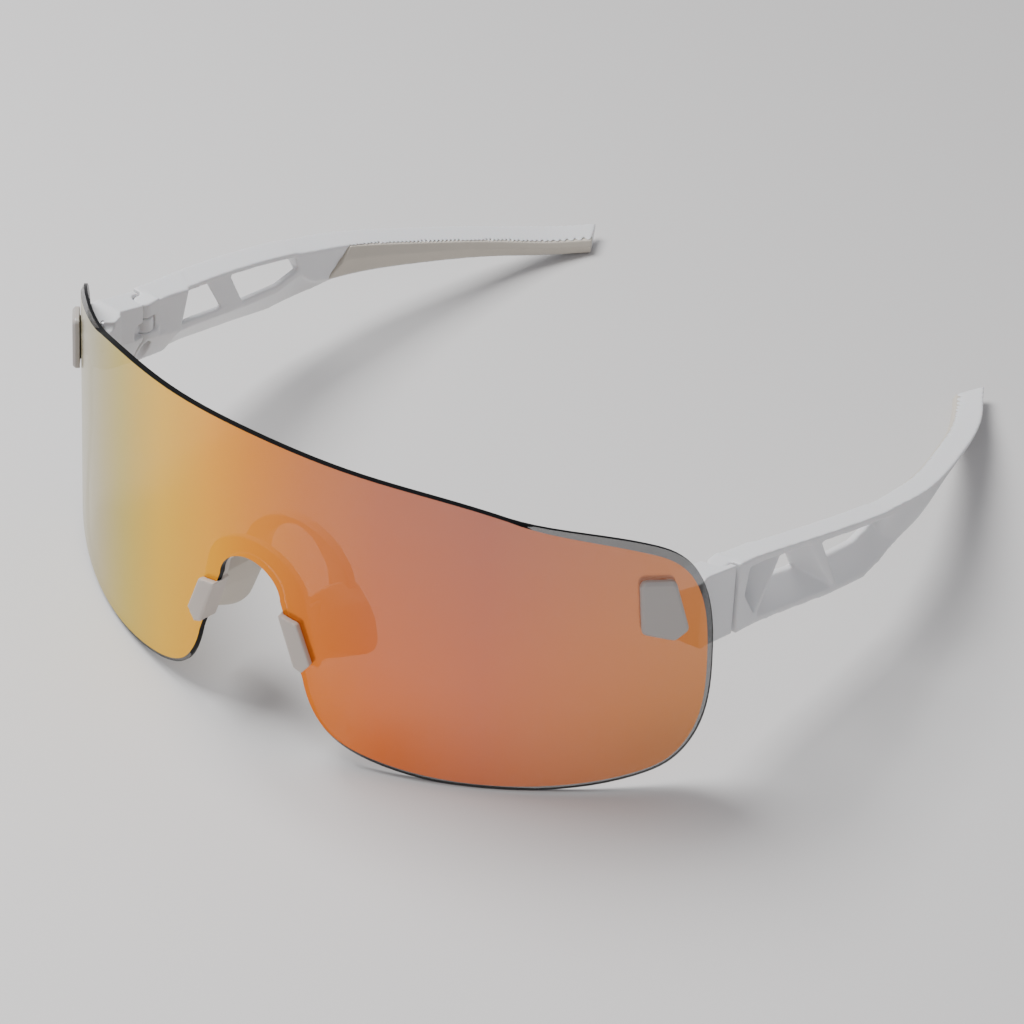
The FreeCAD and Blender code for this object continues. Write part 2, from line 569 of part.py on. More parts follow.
def make_end_piece():
    """The block behind the lens: a pad on the lens, then a body that runs back to the hinge."""
    upper, lower = hinge_levels()
    half_gap = 0.5 * KNUCKLE_GAP
    inner = TEMPLE_X - TEMPLE_WIDTH
    back_of_lens = LENS_THICKNESS + SEAT_GAP
    rows = [(-22.0, 12.0, PAD_TOP, PAD_FOOT), (-9.7, 0.0, END_TOP, END_FOOT),
            (-SPLIT_GAP, 0.0, TEMPLE_TOP, TEMPLE_TOP - FRONT_DEPTH)]
    wires = []
    for distance, wider, z, foot in rows:
        y = SPLIT_Y + distance
        wires.append(Part.makePolygon([Vector(TEMPLE_X + 4, y, z), Vector(inner - wider, y, z - TOP_TILT),
                                       Vector(inner - wider, y, foot), Vector(TEMPLE_X + 4, y, foot),
                                       Vector(TEMPLE_X + 4, y, z)]))
    block = Part.makeLoft(wires, True, True)
    root = on_lens(PAD_INNER_ARC, 0, back_of_lens + PAD_DEPTH)
    front = on_lens(PAD_INNER_ARC, 0, 0)
    rim = on_lens(PAD_OUTER_ARC, 0, back_of_lens)
    plan = prism([(front.x - 1.0, front.y - 1.0, -60), (rim.x + 1.0, rim.y - 3.0, -60), (rim.x, rim.y, -60),
                  (TEMPLE_X, rim.y + 3.0, -60), (TEMPLE_X, SPLIT_Y, -60), (inner, SPLIT_Y, -60),
                  (inner, HINGE_Y - 5.2, -60), (inner - 0.6, HINGE_Y - 7.5, -60), (root.x, root.y, -60)], (0, 0, 120))
    inside_lens = Part.makeCylinder(LENS_RADIUS - back_of_lens, 120, Vector(0, LENS_RADIUS, -60))
    block = block.common(plan).common(inside_lens).cut(front_bevel())
    reach = TEMPLE_WIDTH - HINGE_INSET + FOLD_CLEARANCE
    folded = Part.makeBox(20, 20, 120, Vector(HINGE_X - 20, HINGE_Y - reach, -60))
    swept = Part.makeCylinder(KNUCKLE_RADIUS + KNUCKLE_GAP, 120, Vector(HINGE_X, HINGE_Y, -60))
    middle = Part.makeBox(40, 40, upper - lower - KNUCKLE_GAP, Vector(HINGE_X - 20, HINGE_Y - 20,
                                                                      lower + half_gap))
    block = block.cut(folded).cut(swept.cut(middle))
    recess = Part.makeBox(RECESS_DEPTH + 5.0, 5.0, upper - lower - KNUCKLE_GAP,
                          Vector(inner - 5.0, HINGE_Y - reach - RECESS_LENGTH, lower + half_gap))
    block = block.cut(recess).fuse(hinge_bar(KNUCKLE_RADIUS, lower + half_gap, upper - half_gap))
    block = block.cut(hinge_bar(HINGE_PIN_RADIUS + HINGE_CLEARANCE, lower - 1, upper + 1))
    seat = back_of_lens + PAD_DEPTH - SCREW_HEAD_HEIGHT
    for arc, height in peg_places():
        block = block.cut(through_lens(PEG_RADIUS, arc, height, 0.0, back_of_lens + PAD_DEPTH - 0.9))
        block = block.cut(through_lens(SCREW_RADIUS, arc, height, 0.0, 20.0))
        block = block.cut(through_lens(SCREW_HEAD_RADIUS, arc, height, seat, 12.0))
    return block


# ---- nosepiece ----

def band_segments(near, far):
    """The band behind the nose cut: an inner edge `near` from the cut and an outer edge `far` from it."""
    inner_foot = (cut_side(BAND_FOOT, near), BAND_FOOT)
    outer_foot = (cut_side(BAND_FOOT, 0.7 * far), BAND_FOOT)
    inner_top = (NOSE_SPREAD_TOP + near, NOSE_SIDE_TOP)
    outer_top = (NOSE_SPREAD_TOP + far, NOSE_SIDE_TOP)
    inner_arch = nose_arch(near, near)
    outer_arch = nose_arch(far, BAND_CROWN)
    return [inner_arch, [(-inner_top[0], inner_top[1]), (-inner_foot[0], inner_foot[1])],
            [(-inner_foot[0], inner_foot[1]), (-outer_foot[0], outer_foot[1])],
            [(-outer_foot[0], outer_foot[1]), (-outer_top[0], outer_top[1])], outer_arch[::-1],
            [outer_top, outer_foot], [outer_foot, inner_foot], [inner_foot, inner_top]]


def make_nose_carrier():
    """Band, two hooks over the cut edge, two side ribs and a rear loop, all in one piece."""
    back = LENS_THICKNESS + BAND_GAP
    segments = band_segments(0.15, BAND_WIDTH)
    carrier = lens_patch([(back + BAND_THICKNESS, segments), (back, segments)])
    for side in (1, -1):
        lip = [(side * cut_side(HOOK_TOP, -HOOK_LIP), HOOK_TOP), (side * cut_side(HOOK_TOP, 0.4),
                                                                  HOOK_TOP),
               (side * cut_side(HOOK_FOOT, 0.4), HOOK_FOOT), (side * cut_side(HOOK_FOOT, -HOOK_LIP),
                                                              HOOK_FOOT)]
        lip_front = [(side * cut_side(HOOK_TOP, -HOOK_LIP), HOOK_TOP), (side * cut_side(HOOK_TOP, -0.12), HOOK_TOP),
                     (side * cut_side(HOOK_FOOT, -0.12), HOOK_FOOT), (side * cut_side(HOOK_FOOT, -HOOK_LIP), HOOK_FOOT)]
        face = [(side * cut_side(HOOK_TOP, -HOOK_LIP), HOOK_TOP), (side * cut_side(HOOK_TOP, HOOK_WRAP),
                                                                   HOOK_TOP - 0.7),
                (side * cut_side(HOOK_FOOT + 1.6, HOOK_WRAP), HOOK_FOOT + 1.6),
                (side * cut_side(HOOK_FOOT, 1.2), HOOK_FOOT - 0.6), (side * cut_side(HOOK_FOOT, -HOOK_LIP), HOOK_FOOT)]
        front = -BAND_GAP
        pieces = [lens_patch([(back + BAND_THICKNESS, corners_to_segments(lip)), (back, corners_to_segments(lip))]),
                  lens_patch([(back + 0.3, corners_to_segments(lip_front)), (front - HOOK_THICKNESS,
                             corners_to_segments(lip_front))]),
                  lens_patch([(front, corners_to_segments(face)), (front - HOOK_THICKNESS,
                                                                   corners_to_segments(face))])]
        carrier = carrier.fuse(pieces)
    loop = loop_ring()
    ribs = []
    start = on_lens(cut_side(RIB_FOOT, RIB_OFFSET + RIB_WIDTH), 0, back + 0.3).y
    for side in (1, -1):
        rib = prism([(side * cut_side(RIB_TOP, RIB_OFFSET), start, RIB_TOP),
                     (side * cut_side(RIB_TOP, RIB_OFFSET + RIB_WIDTH), start, RIB_TOP),
                     (side * cut_side(RIB_FOOT, RIB_OFFSET + RIB_WIDTH), start, RIB_FOOT),
                     (side * cut_side(RIB_FOOT, RIB_OFFSET), start, RIB_FOOT)], (0, LOOP_FRONT + 1.0 - start, 0))
        arm = prism([(side * cut_side(RIB_TOP, RIB_OFFSET), LOOP_FRONT, RIB_TOP - 1.0),
                     (side * cut_side(RIB_TOP, LOOP_OFFSET + LOOP_WIDTH), LOOP_FRONT, RIB_TOP - 1.0),
                     (side * cut_side(RIB_TOP, LOOP_OFFSET + LOOP_WIDTH), LOOP_FRONT, RIB_TOP - 2.6),
                     (side * cut_side(RIB_TOP, RIB_OFFSET), LOOP_FRONT, RIB_TOP - 2.6)], (0, LOOP_DEPTH, 0))
        ribs += [rib, arm]
    return carrier.fuse(ribs + [loop]).removeSplitter()


def loop_ring():
    """The rear loop over the nose, an arch of the nose cut's shape set back from the lens."""
    foot = RIB_TOP - 2.6
    edges = []
    inner = [Vector(x, LOOP_FRONT, z) for x, z in nose_arch(LOOP_OFFSET, LOOP_RISE, LOOP_SAG)]
    outer = [Vector(x, LOOP_FRONT, z) for x, z in nose_arch(LOOP_OFFSET + LOOP_WIDTH,
                                                            LOOP_RISE + LOOP_CROWN, LOOP_SAG)]
    for points in (inner, outer[::-1]):
        curve = Part.BSplineCurve()
        curve.interpolate(points)
        edges.append(curve.toShape())
    inner_foot = [Vector(point.x * 1.02, LOOP_FRONT, foot) for point in (inner[0], inner[-1])]
    outer_foot = [Vector(point.x * 1.02, LOOP_FRONT, foot) for point in (outer[0], outer[-1])]
    wire = Part.Wire([Part.makeLine(inner_foot[0], inner[0]), edges[0], Part.makeLine(inner[-1], inner_foot[1]),
                      Part.makeLine(inner_foot[1], outer_foot[1]), Part.makeLine(outer_foot[1], outer[-1]), edges[1],
                      Part.makeLine(outer[0], outer_foot[0]), Part.makeLine(outer_foot[0], inner_foot[0])])
    return Part.Face(wire).extrude(Vector(0, LOOP_DEPTH, 0))


def make_nose_pad(carrier):
    """A soft pad on one side: it flares toward the face and closes round the carrier's rib."""
    rows = [(LENS_THICKNESS + BAND_THICKNESS + 0.7, 0.2, 3.0, -9.8, -21.4), (8.0, -0.1, 3.9, -9.6, -22.7),
            (13.0, -0.4, 6.0, -9.8, -24.1), (15.4, 0.3, 5.6, -11.0, -23.3), (16.4, 1.7, 4.2, -13.0, -20.8)]
    wires = []
    for y, inner, outer, top, foot in rows:
        middle = 0.5 * (top + foot)
        ring = [(cut_side(top, 0.35 * inner + 0.65 * outer), top), (cut_side(top - 2.0, inner + 0.4),
                                                                    top - 2.0),
                (cut_side(middle, inner), middle), (cut_side(foot + 0.9, inner + 0.2), foot + 0.9),
                (cut_side(foot, inner + 1.0), foot), (cut_side(foot + 2.4, outer), foot + 2.4),
                (cut_side(middle, outer + 0.5), middle), (cut_side(top - 3.0, outer), top - 3.0)]
        corners = [Vector(x, y, z) for x, z in ring]
        wires.append(Part.makePolygon(corners + [corners[0]]))
    return Part.makeLoft(wires, True, False).cut(carrier)


def standing():
    """Turn and lift from the lens frame to the floor: lobes and tips touch Z = 0."""
    lobe = on_lens(LOBE_ARC, -LENS_DROP, LENS_THICKNESS)
    rest = TEMPLE_LENGTH - TIP_REST
    tip = place(rest, TEMPLE_WIDTH - 0.5 * FOOT_WIDTH, arm_height(rest))
    tilt = math.degrees(math.atan2(tip.z - lobe.z, tip.y - lobe.y))
    turn = FreeCAD.Placement(Vector(0, 0, 0), FreeCAD.Rotation(Vector(1, 0, 0), -tilt))
    low = turn.multVec(lobe).z
    return turn, -FOOT_SKIM - low


def main():
    arm = make_arm()
    grip = make_grip()
    carrier = make_nose_carrier()
    end_piece = make_end_piece()
    left = {
        "front_plate": make_front_plate(),
        "lens_bushings": make_bushings(),
        "plate_screws": make_plate_screws(),
        "end_piece": end_piece,
        "temple": make_temple(arm, grip),
        "temple_grip": grip,
        "hinge_screw": make_hinge_screw(),
        "hinge_insert": make_hinge_insert(),
        "nose_pad": make_nose_pad(carrier),
    }
    nodes = {"shield_lens": make_lens(), "nose_carrier": carrier}
    for name, shape in left.items():
        nodes[name + "_left"] = shape
        nodes[name + "_right"] = mirrored(shape)
    turn, lift = standing()
    ground = Part.makeBox(FAR, FAR, FAR, Vector(-0.5 * FAR, -0.5 * FAR, -FAR))
    for name in nodes:
        shape = nodes[name].copy()
        shape.Placement = FreeCAD.Placement(Vector(0, 0, lift), FreeCAD.Rotation()) * turn
        nodes[name] = shape
    for name in ("shield_lens", "temple_left", "temple_right", "temple_grip_left", "temple_grip_right"):
        nodes[name] = nodes[name].cut(ground)
    box = Part.makeCompound(list(nodes.values())).optimalBoundingBox(False)
    shift = -0.5 * (box.YMin + box.YMax)
    os.makedirs("parts", exist_ok=True)
    for name, shape in nodes.items():
        shape.translate(Vector(0, shift, 0))
        shape.exportStep("parts/" + name + ".step")



main()
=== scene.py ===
import json
import math

import bmesh
import bpy
from mathutils import Euler, Matrix, Vector


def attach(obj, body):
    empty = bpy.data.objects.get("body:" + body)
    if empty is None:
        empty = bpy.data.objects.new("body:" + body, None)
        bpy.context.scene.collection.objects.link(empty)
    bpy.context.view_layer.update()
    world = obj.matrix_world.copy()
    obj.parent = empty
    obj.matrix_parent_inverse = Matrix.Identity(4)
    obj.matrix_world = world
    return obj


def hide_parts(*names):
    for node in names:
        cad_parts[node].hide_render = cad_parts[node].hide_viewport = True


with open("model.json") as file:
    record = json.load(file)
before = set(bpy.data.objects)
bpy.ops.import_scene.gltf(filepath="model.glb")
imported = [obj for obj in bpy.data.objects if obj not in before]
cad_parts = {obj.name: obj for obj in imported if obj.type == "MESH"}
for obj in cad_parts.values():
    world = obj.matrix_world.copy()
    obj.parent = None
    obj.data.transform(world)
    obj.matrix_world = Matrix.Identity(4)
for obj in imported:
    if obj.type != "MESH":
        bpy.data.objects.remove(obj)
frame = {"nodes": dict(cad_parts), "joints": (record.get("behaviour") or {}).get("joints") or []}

bl_info = {
    "name": "Sport Shield Glasses",
    "version": (1, 0, 0),
    "blender": (4, 5, 0),
    "location": "View3D > Sidebar > Glasses",
    "description": "Dresses the packed frame of a pair of one-lens sport sunglasses",
    "category": "Object",
}

SIDES = ("left", "right")
AXIS = Vector(frame["joints"][0]["axis"]).normalized()
HINGE = Vector(frame["joints"][0]["pos_m"])
MERGE = 1e-6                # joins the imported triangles' corners, metres
AXIS_BEHIND_HINGE = 0.0384864   # from the hinges back to the shield's axis
COATED, BACK, BEVEL, EDGE = range(4)    # the lens's finishes, in the order of its material slots
FACING = 0.97               # how squarely a face looks away from the axis to be coating or back
BEVEL_FACING = 0.5          # how squarely, to be the ground bevel and not the edge
SHARP = math.radians(20)    # the lens keeps a crease where it turns by more
EASING_FACTOR = 0.5         # how far each easing moves a corner
GRIP_EASING = 3
PAD_EASING = 10
PLATE_FINENESS = 0.5        # the plates' skin beside that of the small parts
SMOKE_INDEX = 1.58
LENS_FOOT_TO_TOP = (0.0, 0.058)     # heights between which the coating's two ramps blend
FLOOR_SIZE = 4.0
FLOOR_DROP = 0.0001         # keeps the floor clear of the feet
FLOOR_SHADE_FADE = (-0.2, 0.3)    # from the front, where the floor's painted shade starts to grey it and where it ends
LAMPS = (                   # name, place, aim, size, watts
    ("key", (-0.5, -0.05, 0.85), (0.0, -0.05, 0.0), 0.6, 15.0),
    ("fill", (0.7, -0.9, 0.5), (0.0, 0.0, 0.02), 1.2, 2.0),
)
SKY_COLOUR = (0.93, 0.94, 1.0, 1.0)
SKY_STRENGTH = 0.4
CAMERA_PLACE = (0.42497, -0.56959, 0.51802)
CAMERA_TURN = 37.0337       # degrees from +Y
CAMERA_PITCH = 36.1425      # degrees down
CAMERA_ROLL = 0.772         # degrees
CAMERA_LENS = 166.99        # millimetres on a 36 mm sensor
CAMERA_SENSOR = 36.0
CAMERA_REACH = 20.0


def shield_axis():
    """A point on the axis of the shield's cylinder."""
    back = Vector((0.0, AXIS.z, -AXIS.y))
    return Vector((0.0, HINGE.y, HINGE.z)) + back * AXIS_BEHIND_HINGE


# ---------------------------------------------------------------- shader maths


class Value:
    """A socket that takes part in sums, and adds a Math node for each."""

    def __init__(self, look, socket):
        self.look = look
        self.socket = socket

    def _math(self, operation, first, second):
        return self.look.node("ShaderNodeMath", {"operation": operation}, {0: first, 1: second})

    def __add__(self, other):
        return self._math("ADD", self, other)

    __radd__ = __add__

    def __sub__(self, other):
        return self._math("SUBTRACT", self, other)

    def __rsub__(self, other):
        return self._math("SUBTRACT", other, self)

    def __mul__(self, other):
        return self._math("MULTIPLY", self, other)

    __rmul__ = __mul__


class Look:
    """A material under construction."""

    def __init__(self, name):
        self.material = bpy.data.materials.new(name)
        self.material.use_nodes = True
        self.tree = self.material.node_tree
        self.shader = self.tree.nodes["Principled BSDF"]

    def node(self, kind, settings=None, inputs=None, output=0):
        """One node: its settings, the values or links of its sockets, and the socket that comes out."""
        made = self.tree.nodes.new(kind)
        for key, value in (settings or {}).items():
            if key == "stops":
                self._ramp(made.color_ramp, value)
            else:
                setattr(made, key, value)
        for key, value in (inputs or {}).items():
            self.feed(made.inputs[key], value)
        return Value(self, made.outputs[output])

    def _ramp(self, ramp, stops):
        while len(ramp.elements) < len(stops):
            ramp.elements.new(1.0)
        for element, (place, colour) in zip(ramp.elements, stops):
            element.position = place
            element.color = (*colour, 1.0)

    def feed(self, socket, value):
        if isinstance(value, Value):
            self.tree.links.new(value.socket, socket)
        else:
            socket.default_value = value

    def finish(self, **values):
        """Sets the shader's sockets by name, with underscores for spaces."""
        for key, value in values.items():
            self.feed(self.shader.inputs[key.replace("_", " ")], value)
        return self.material

    def place(self):
        return self.node("ShaderNodeTexCoord", output="Object")

    def noise(self, scale, detail=3.0, stretch=(1.0, 1.0, 1.0)):
        where = self.node("ShaderNodeMapping", inputs={"Vector": self.place(), "Scale": stretch})
        return self.node("ShaderNodeTexNoise", inputs={"Vector": where, "Scale": scale, "Detail": detail})

    def span(self, value, low, high):
        """Runs a value from 0 to 1 between two limits."""
        return self.node("ShaderNodeMapRange", {"interpolation_type": "SMOOTHSTEP"},
                         {"Value": value, "From Min": low, "From Max": high})

    def span_linear(self, value, low, high):
        """Runs a value straight from 0 to 1 between two limits."""
        return self.node("ShaderNodeMapRange", inputs={"Value": value, "From Min": low, "From Max": high})

    def mix(self, factor, first, second):
        return self.node("ShaderNodeMix", {"data_type": "RGBA"}, {0: factor, 6: first, 7: second}, 2)

    def bump(self, height, depth, strength=1.0):
        return self.node("ShaderNodeBump", inputs={"Height": height, "Distance": depth, "Strength": strength})


def plain(colour):
    """A colour with its alpha, as a colour socket wants it."""
    return (*colour, 1.0)


def linear(red, green, blue):
    """A screen colour, 0 to 255, as light."""
    def channel(value):
        share = value / 255
        return share / 12.92 if share <= 0.04045 else ((share + 0.055) / 1.055) ** 2.4
    return tuple(channel(value) for value in (red, green, blue))


# ---------------------------------------------------------------- finishes

# How many times a metre each pattern repeats, its depth in metres, and the roughness it varies about.
COATING_WANDER = 18.0
COATING_DRIFT = 0.03        # how far the wander shifts the coating's colours along the ramp
COATING_ROUGHNESS = 0.16
SMOKE_HAZE = 240.0
NYLON_GRAIN = 5200.0
NYLON_GRAIN_DEPTH = 0.00002
NYLON_CLOUD = 55.0
NYLON_ROUGHNESS = 0.34
RUBBER_NAP = 3600.0
RUBBER_NAP_DEPTH = 0.00004
RUBBER_CLOUD = 90.0
RUBBER_ROUGHNESS = 0.62
METAL_RINGS = 900.0
METAL_RING_DEPTH = 0.00001
METAL_STRETCH = (1.0, 1.0, 14.0)
METAL_ROUGHNESS = 0.24
FLOOR_MOTTLE = 9.0

# Colours of the coating from the wearer's right to the left, near the lens's top and near its foot. Only the
# orange is the coating's own. The shift across the lens and from foot to top is painted reflection: the
# colour the mirror shows from one viewpoint.
COATING_REFLECTION_HIGH = [
    (0.00, linear(138, 134, 112)), (0.16, linear(150, 141, 92)), (0.25, linear(180, 158, 60)),
    (0.34, linear(222, 170, 30)), (0.43, linear(228, 152, 26)), (0.50, linear(214, 132, 42)),
    (0.58, linear(194, 112, 56)), (0.68, linear(178, 99, 68)), (0.80, linear(168, 96, 76)),
    (1.00, linear(178, 114, 74)),
]
COATING_REFLECTION_LOW = [
    (0.00, linear(138, 134, 108)), (0.16, linear(158, 142, 84)), (0.25, linear(184, 158, 40)),
    (0.34, linear(214, 164, 12)), (0.43, linear(216, 154, 8)), (0.50, linear(214, 130, 12)),
    (0.58, linear(208, 108, 14)), (0.68, linear(204, 100, 34)), (0.80, linear(194, 98, 48)),
    (1.00, linear(198, 118, 42)),
]


def coating_with_painted_light_look(sizes):
    """Orange mirror coating with painted reflection, a colour shift from olive through yellow to salmon
    across the lens, and a painted glow.
    """
    look = Look("mirror coating")
    where = look.place()
    across = look.node("ShaderNodeSeparateXYZ", inputs={0: where})
    up = look.node("ShaderNodeSeparateXYZ", inputs={0: where}, output=2)
    share = look.span_linear(across, -sizes.half_width, sizes.half_width)
    wander = look.noise(COATING_WANDER, 2.0)
    share = share + (wander - 0.5) * COATING_DRIFT
    # The ramps paint reflection: the colours the mirror shows from one viewpoint, laid over the coating's own
    # orange.
    upper = look.node("ShaderNodeValToRGB", {"stops": COATING_REFLECTION_HIGH}, {0: share})
    lower = look.node("ShaderNodeValToRGB", {"stops": COATING_REFLECTION_LOW}, {0: share})
    height = look.span_linear(up, *LENS_FOOT_TO_TOP)
    colour = look.mix(height, lower, upper)
    # The emission is a painted glow: the coating lights itself up, though it is no lamp.
    return look.finish(Base_Color=colour, Metallic=1.0, Roughness=COATING_ROUGHNESS + wander * 0.05,
                       Alpha=sizes.coating_alpha, Emission_Color=colour,
                       Emission_Strength=sizes.coating_painted_glow)


def smoke_look(name, colour, alpha, roughness=0.08, gloss=0.5):
    """Tinted clear plastic: the lens behind its coating, and its bare rim."""
    look = Look(name)
    haze = look.noise(SMOKE_HAZE, 2.0)
    shade = look.mix(haze * 0.3, plain(colour), plain([0.7 * c for c in colour]))
    return look.finish(Base_Color=shade, Roughness=roughness + haze * 0.05, Alpha=alpha, IOR=SMOKE_INDEX,
                       Specular_IOR_Level=gloss)


def nylon_look(name, colour):
    """White moulded nylon with a fine sparked surface and faint random soiling."""
    look = Look(name)
    grain = look.noise(NYLON_GRAIN, 2.0)
    cloud = look.noise(NYLON_CLOUD, 4.0)
    shade = look.mix(look.span(cloud, 0.35, 0.75) * 0.35, plain(colour), plain([0.95 * c for c in colour]))
    return look.finish(Base_Color=shade, Roughness=NYLON_ROUGHNESS + (cloud - 0.5) * 0.16,
                       Normal=look.bump(grain, NYLON_GRAIN_DEPTH, 0.5), Subsurface_Weight=0.04,
                       Subsurface_Scale=0.002)


def rubber_look(name, colour):
    """Soft matt rubber with a slight nap."""
    look = Look(name)
    nap = look.noise(RUBBER_NAP, 3.0)
    cloud = look.noise(RUBBER_CLOUD, 3.0)
    shade = look.mix(look.span(cloud, 0.3, 0.7) * 0.4, plain(colour), plain([0.93 * c for c in colour]))
    return look.finish(Base_Color=shade, Roughness=RUBBER_ROUGHNESS + nap * 0.12,
                       Normal=look.bump(nap, RUBBER_NAP_DEPTH, 0.6), Sheen_Weight=0.15)


def metal_look(name, colour):
    """Turned metal with fine rings."""
    look = Look(name)
    rings = look.noise(METAL_RINGS, 2.0, METAL_STRETCH)
    return look.finish(Base_Color=look.mix(rings * 0.3, plain(colour), plain([0.8 * c for c in colour])),
                       Metallic=1.0, Roughness=METAL_ROUGHNESS + rings * 0.14,
                       Normal=look.bump(rings, METAL_RING_DEPTH, 0.4))


def floor_look(colour):
    """Pale painted board, with a barely seen mottle and painted shade that greys it toward the back."""
    look = Look("pale floor")
    cloud = look.noise(FLOOR_MOTTLE, 4.0)
    depth = look.node("ShaderNodeSeparateXYZ", inputs={0: look.place()}, output=1)
    # Painted shade: the floor greys toward the back, standing in for the lamps' light falling off.
    shade = look.mix(look.span(depth, *FLOOR_SHADE_FADE), plain(colour), plain([0.7 * c for c in colour]))
    return look.finish(Base_Color=look.mix(cloud * 0.04, shade, plain((0.3, 0.3, 0.3))),
                       Roughness=0.55 + cloud * 0.1)


# ---------------------------------------------------------------- modelling


def merged(node):
    """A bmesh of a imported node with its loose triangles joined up."""
    shell = bmesh.new()
    shell.from_mesh(frame["nodes"][node].data)
    bmesh.ops.remove_doubles(shell, verts=shell.verts, dist=MERGE)
    return shell


def settle(name, shell, body, node, looks):
    """Makes the object of a finished bmesh and ties it to its body, slot and node."""
    mesh = bpy.data.meshes.new(name)
    shell.to_mesh(mesh)
    shell.free()
    piece = bpy.data.objects.new(name, mesh)
    bpy.context.scene.collection.objects.link(piece)
    for look in looks:
        mesh.materials.append(look)
    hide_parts(node)
    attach(piece, body)
    return piece


def mark_sharp(shell, limit):
    """Smooth faces all over, with a crease wherever they turn by more than the limit."""
    for face in shell.faces:
        face.smooth = True
    for edge in shell.edges:
        edge.smooth = len(edge.link_faces) == 2 and edge.calc_face_angle(0.0) < limit


def rounded(piece, grain, passes):
    """Gives a moulded piece its soft edges: an even fine skin, eased a few times."""
    skin = piece.modifiers.new("skin", "REMESH")
    skin.mode = "VOXEL"
    skin.voxel_size = grain
    skin.use_smooth_shade = True
    ease = piece.modifiers.new("ease", "SMOOTH")
    ease.factor = EASING_FACTOR
    ease.iterations = passes
    view = bpy.context.evaluated_depsgraph_get()
    mesh = bpy.data.meshes.new_from_object(piece.evaluated_get(view))
    piece.modifiers.clear()
    mesh.name = piece.name
    if not mesh.materials:
        for look in piece.data.materials:
            mesh.materials.append(look)
    piece.data = mesh


# ---------------------------------------------------------------- settings


class GlassesSizes(bpy.types.PropertyGroup):
    """Sizes of the finishes' own detail, and how clear the lens is."""

    half_width: bpy.props.FloatProperty(
        name="Coating half width", description="Where the coating's colours end, from the middle",
        default=0.0705, unit="LENGTH")
    coating_alpha: bpy.props.FloatProperty(
        name="Coating opacity", description="How little shows through the coated lens", default=0.88,
        min=0.0, max=1.0, subtype="FACTOR")
    # Strength of the painted glow, the emission added on top of the coating's real reflections.
    coating_painted_glow: bpy.props.FloatProperty(
        name="Coating painted glow", description="How brightly the coating glows as painted light", default=0.36, min=0.0)
    frame_grain: bpy.props.FloatProperty(
        name="Frame skin", description="Fineness of the skin that rounds the white parts",
        default=0.0003, unit="LENGTH")
    small_grain: bpy.props.FloatProperty(
        name="Small part skin", description="Fineness of the skin that rounds the small parts",
        default=0.0002, unit="LENGTH")
    easing: bpy.props.IntProperty(
        name="Easing", description="How many times the edges are eased", default=5, min=0)


class GlassesColours(bpy.types.PropertyGroup):
    """Colours of the finishes."""

    nylon: bpy.props.FloatVectorProperty(
        name="Nylon", description="White of the frame", default=(0.76, 0.76, 0.77), subtype="COLOR",
        min=0.0, max=1.0)
    # The plates are white nylon like the arms. This darker, warmer colour is painted shade.
    plate: bpy.props.FloatVectorProperty(
        name="Plate", description="White of the front plates, darker and warmer as painted shade", default=(0.42, 0.39, 0.37),
        subtype="COLOR", min=0.0, max=1.0)
    # The nose carrier is white nylon too. This darker, warmer colour is painted shade.
    band: bpy.props.FloatVectorProperty(
        name="Nose band", description="White of the nose carrier, darker and warmer as painted shade", default=(0.55, 0.49, 0.44),
        subtype="COLOR", min=0.0, max=1.0)
    rubber: bpy.props.FloatVectorProperty(
        name="Rubber", description="Ivory of the grips and nose pads", default=(0.60, 0.55, 0.47),
        subtype="COLOR", min=0.0, max=1.0)
    smoke: bpy.props.FloatVectorProperty(
        name="Smoke", description="Tint of the bare lens", default=(0.03, 0.03, 0.032), subtype="COLOR",
        min=0.0, max=1.0)
    floor: bpy.props.FloatVectorProperty(
        name="Floor", description="Pale floor", default=(0.74, 0.725, 0.715), subtype="COLOR", min=0.0,
        max=1.0)


# ---------------------------------------------------------------- operators


class GLASSES_OT_lens(bpy.types.Operator):
    """The one-piece shield, mirror coated in front, smoke behind, bare along its edge"""

    bl_idname = "glasses.lens"
    bl_label = "Shield lens"

    def execute(self, context):
        sizes = context.scene.glasses_sizes
        colours = context.scene.glasses_colours
        shell = merged("shield_lens")
        mark_sharp(shell, SHARP)
        middle = shield_axis()
        for face in shell.faces:
            out = face.calc_center_median() - middle
            out -= AXIS * out.dot(AXIS)
            square = face.normal.dot(out.normalized())
            if square > FACING:
                face.material_index = COATED
            elif square < -FACING:
                face.material_index = BACK
            elif square > BEVEL_FACING:
                face.material_index = BEVEL
            else:
                face.material_index = EDGE
        looks = (
            coating_with_painted_light_look(sizes),
            smoke_look("smoke lens back", colours.smoke, 0.5),
            smoke_look("bare bevel", (0.05, 0.05, 0.05), 0.62, 0.2, 0.3),
            smoke_look("bare edge", (0.003, 0.003, 0.0035), 1.0, 0.3, 0.08),
        )
        settle("lens_shield", shell, "front", "shield_lens", looks)
        return {"FINISHED"}


